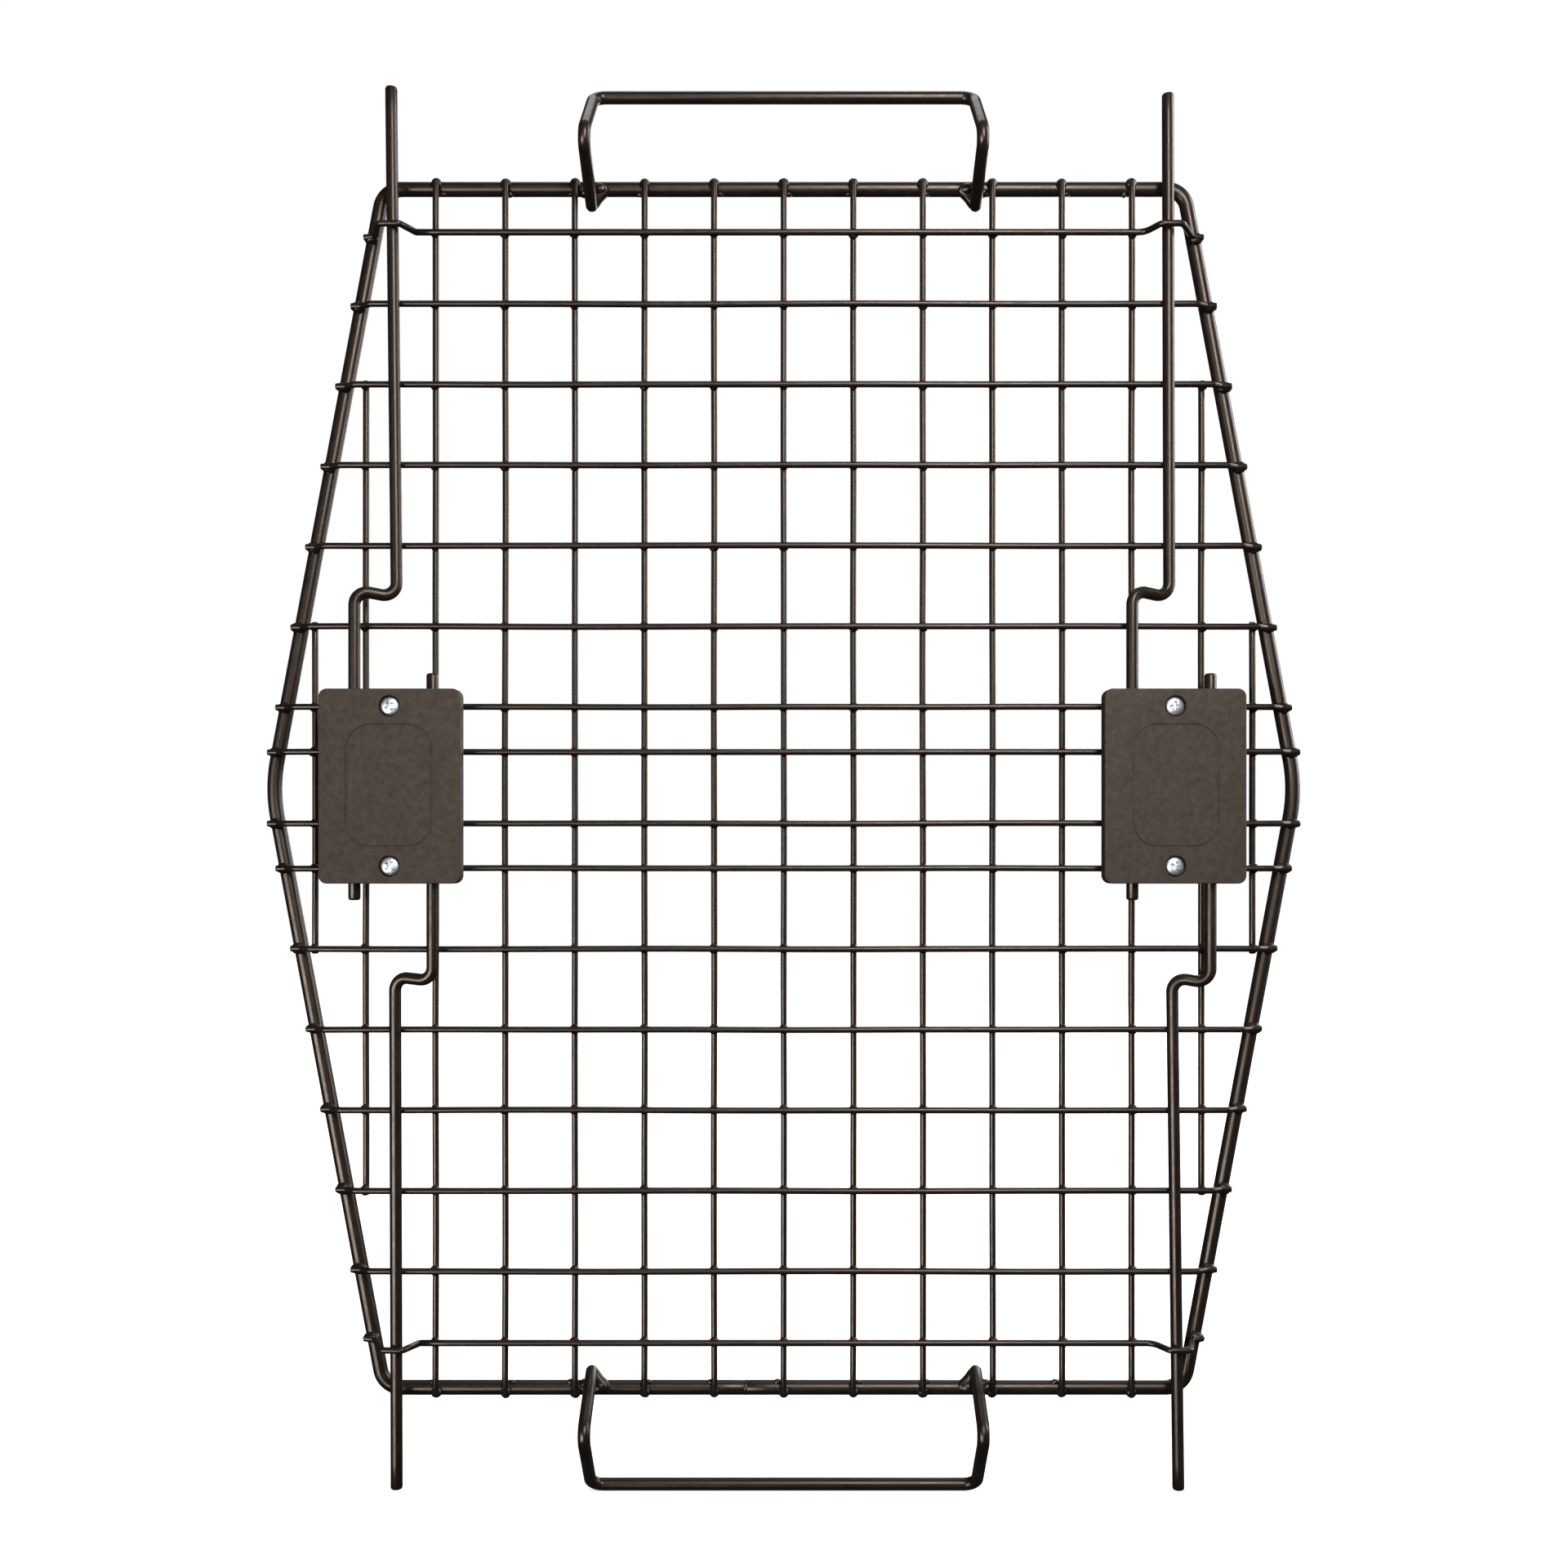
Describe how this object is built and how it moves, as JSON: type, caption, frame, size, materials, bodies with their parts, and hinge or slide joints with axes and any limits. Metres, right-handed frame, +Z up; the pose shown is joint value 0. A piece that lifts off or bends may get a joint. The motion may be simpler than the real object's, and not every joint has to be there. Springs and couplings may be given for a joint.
{
  "type": "wire kennel door",
  "caption": "Hexagonal wire grille door for a pet kennel, with a spring latch box on each side, cranked slide rods at top and bottom, and bent wire stop loops.",
  "frame": {"origin": "middle of the hoop's width and height and of the door's depth, which is within 2 mm of the centre of the door's bounding box", "axes": "+Z up as installed, +X to the right seen from the front, -Y towards the viewer, on the latch side"},
  "size_m": [0.3796, 0.0324, 0.5087],
  "materials": {
    "coated_wire": "dark brown-black powder coat, satin, on steel wire",
    "latch_shell": "dark grey-brown moulded plastic, fine matte grain",
    "zinc_screw": "bright zinc plating",
    "spring_steel": "drawn spring wire and plain steel rings, lightly oiled"
  },
  "bodies": {
    "door": {"hoop": "coated_wire", "upright_wire_01": "coated_wire", "upright_wire_02": "coated_wire", "upright_wire_03": "coated_wire", "upright_wire_04": "coated_wire", "upright_wire_05": "coated_wire", "upright_wire_06": "coated_wire", "upright_wire_07": "coated_wire", "upright_wire_08": "coated_wire", "upright_wire_09": "coated_wire", "upright_wire_10": "coated_wire", "upright_wire_11": "coated_wire", "left_short_upright_1": "coated_wire", "left_short_upright_2": "coated_wire", "right_short_upright_1": "coated_wire", "right_short_upright_2": "coated_wire", "upper_cross_wire_1": "coated_wire", "upper_cross_wire_2": "coated_wire", "upper_cross_wire_3": "coated_wire", "upper_cross_wire_4": "coated_wire", "upper_cross_wire_5": "coated_wire", "upper_cross_wire_6": "coated_wire", "upper_cross_wire_7": "coated_wire", "lower_cross_wire_1": "coated_wire", "lower_cross_wire_2": "coated_wire", "lower_cross_wire_3": "coated_wire", "lower_cross_wire_4": "coated_wire", "lower_cross_wire_5": "coated_wire", "lower_cross_wire_6": "coated_wire", "lower_cross_wire_7": "coated_wire", "top_guide_wire": "coated_wire", "top_stop_loop": "coated_wire", "bottom_guide_wire": "coated_wire", "bottom_stop_loop": "coated_wire", "left_latch_base": "latch_shell", "left_latch_cover": "latch_shell", "left_clamp_plate": "latch_shell", "left_cover_screw_upper": "zinc_screw", "left_clamp_screw_upper": "zinc_screw", "left_upper_spring": "spring_steel", "left_cover_screw_lower": "zinc_screw", "left_clamp_screw_lower": "zinc_screw", "left_lower_spring": "spring_steel", "right_latch_base": "latch_shell", "right_latch_cover": "latch_shell", "right_clamp_plate": "latch_shell", "right_cover_screw_upper": "zinc_screw", "right_clamp_screw_upper": "zinc_screw", "right_upper_spring": "spring_steel", "right_cover_screw_lower": "zinc_screw", "right_clamp_screw_lower": "zinc_screw", "right_lower_spring": "spring_steel"},
    "left_upper_slide_rod": {"left_upper_rod": "coated_wire", "left_upper_collar": "spring_steel"},
    "left_lower_slide_rod": {"left_lower_rod": "coated_wire", "left_lower_collar": "spring_steel"},
    "right_upper_slide_rod": {"right_upper_rod": "coated_wire", "right_upper_collar": "spring_steel"},
    "right_lower_slide_rod": {"right_lower_rod": "coated_wire", "right_lower_collar": "spring_steel"}
  },
  "joints": [
    {"name": "left_upper_rod_slide", "type": "slide", "parent": "door", "child": "left_upper_slide_rod", "axis": [0, 0, -1], "range_m": [0, 0.025], "stiffness_N_per_m": 350, "springref_m": -0.012, "deforming": ["left_upper_spring"]},
    {"name": "left_lower_rod_slide", "type": "slide", "parent": "door", "child": "left_lower_slide_rod", "axis": [0, 0, 1], "range_m": [0, 0.025], "stiffness_N_per_m": 350, "springref_m": -0.012, "deforming": ["left_lower_spring"]},
    {"name": "right_upper_rod_slide", "type": "slide", "parent": "door", "child": "right_upper_slide_rod", "axis": [0, 0, -1], "range_m": [0, 0.025], "stiffness_N_per_m": 350, "springref_m": -0.012, "deforming": ["right_upper_spring"]},
    {"name": "right_lower_rod_slide", "type": "slide", "parent": "door", "child": "right_lower_slide_rod", "axis": [0, 0, 1], "range_m": [0, 0.025], "stiffness_N_per_m": 350, "springref_m": -0.012, "deforming": ["right_lower_spring"]}
  ]
}
